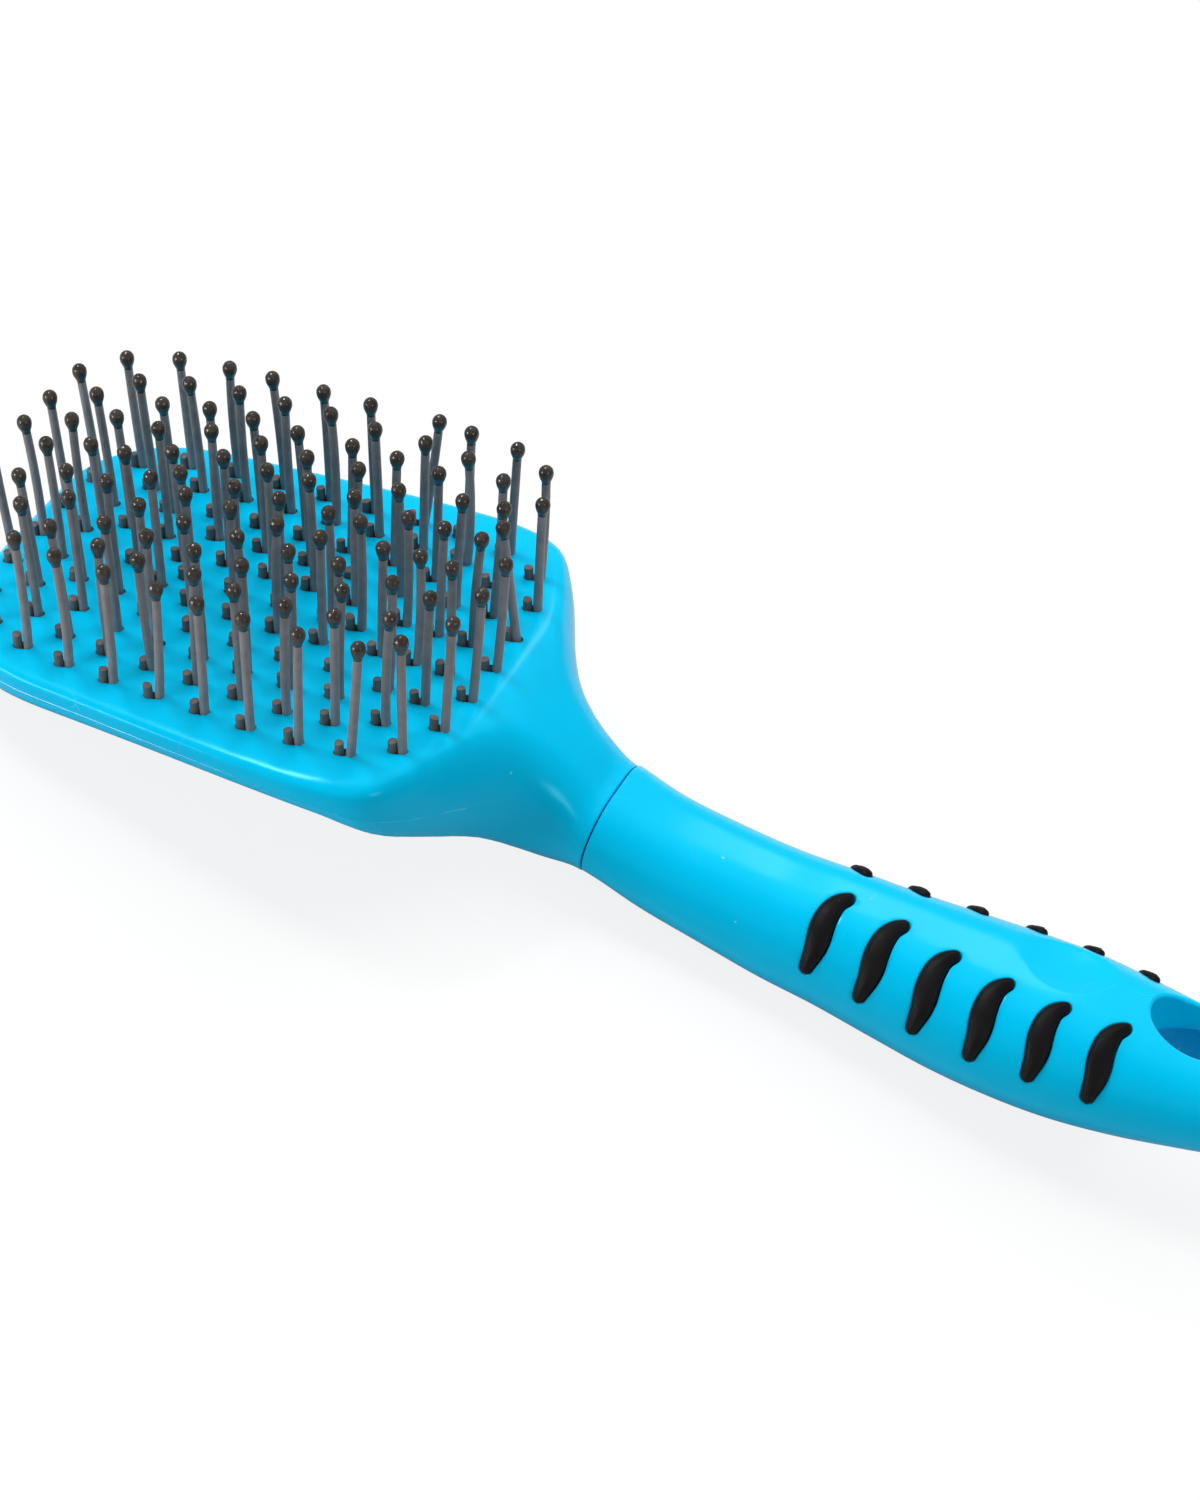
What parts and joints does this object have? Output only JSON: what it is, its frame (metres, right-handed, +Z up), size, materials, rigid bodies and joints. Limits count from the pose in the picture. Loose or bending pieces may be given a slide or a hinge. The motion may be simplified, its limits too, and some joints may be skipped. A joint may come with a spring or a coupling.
{
  "type": "mane and tail brush",
  "caption": "Paddle brush for a horse's mane and tail, with ball-tipped folded pins, a curved handle with rubber grip ribs and a hang hole.",
  "frame": {"origin": "on the surface that the brush lies on, where the underside pad near the neck touches it", "axes": "+X towards the handle's butt along the surface, -X towards the head's free end, +Z up, so that the pins stand up and lean 13 degrees towards the free end; the head is symmetric about the XZ plane"},
  "size_m": [0.2303, 0.0742, 0.052],
  "materials": {
    "blue_plastic": "smooth moulded, semi-gloss",
    "black_rubber": "satin",
    "grey_nylon": "satin"
  },
  "bodies": {
    "root": {"grip_rib_far_1": "black_rubber", "grip_rib_far_2": "black_rubber", "grip_rib_far_3": "black_rubber", "grip_rib_far_4": "black_rubber", "grip_rib_far_5": "black_rubber", "grip_rib_far_6": "black_rubber", "grip_rib_near_1": "black_rubber", "grip_rib_near_2": "black_rubber", "grip_rib_near_3": "black_rubber", "grip_rib_near_4": "black_rubber", "grip_rib_near_5": "black_rubber", "grip_rib_near_6": "black_rubber", "handle": "blue_plastic", "head": "blue_plastic", "pin_row_1_far": "grey_nylon", "pin_row_1_near": "grey_nylon", "pin_row_1_neck": "grey_nylon", "pin_row_1_tip": "grey_nylon", "pin_row_2_far": "grey_nylon", "pin_row_2_near": "grey_nylon", "pin_row_2_neck": "grey_nylon", "pin_row_2_tip": "grey_nylon", "pin_row_3_far": "grey_nylon", "pin_row_3_near": "grey_nylon", "pin_row_3_neck": "grey_nylon", "pin_row_3_tip": "grey_nylon", "pin_row_4_far": "grey_nylon", "pin_row_4_near": "grey_nylon", "pin_row_4_neck": "grey_nylon", "pin_row_5_far": "grey_nylon", "pin_row_5_near": "grey_nylon", "pin_row_5_neck": "grey_nylon", "pin_row_6": "grey_nylon", "underside_pad": "black_rubber"}
  },
  "joints": []
}
